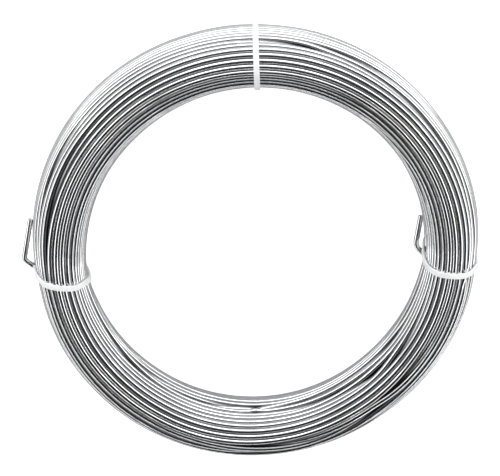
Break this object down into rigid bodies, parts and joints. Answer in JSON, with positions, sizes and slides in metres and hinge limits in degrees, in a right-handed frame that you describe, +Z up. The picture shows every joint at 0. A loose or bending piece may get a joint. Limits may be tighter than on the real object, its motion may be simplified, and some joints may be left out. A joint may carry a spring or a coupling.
{
  "type": "coil of galvanized wire",
  "caption": "Ring-shaped coil of galvanized steel wire lying flat, bound with white cable ties, with both wire ends bent into hooks.",
  "frame": {"origin": "on the coil's axis, at the level of the floor the coil lies on", "axes": "+Z up along the coil's axis, +Y towards the back cable tie, +X towards the tie beside the wire's inner end"},
  "size_m": [0.2051, 0.2001, 0.0443],
  "materials": {
    "galvanized_wire": "bright galvanized",
    "white_nylon": "satin"
  },
  "bodies": {
    "root": {"wire_coil": "galvanized_wire", "back_cable_tie": "white_nylon", "left_cable_tie": "white_nylon", "right_cable_tie": "white_nylon"}
  },
  "joints": []
}
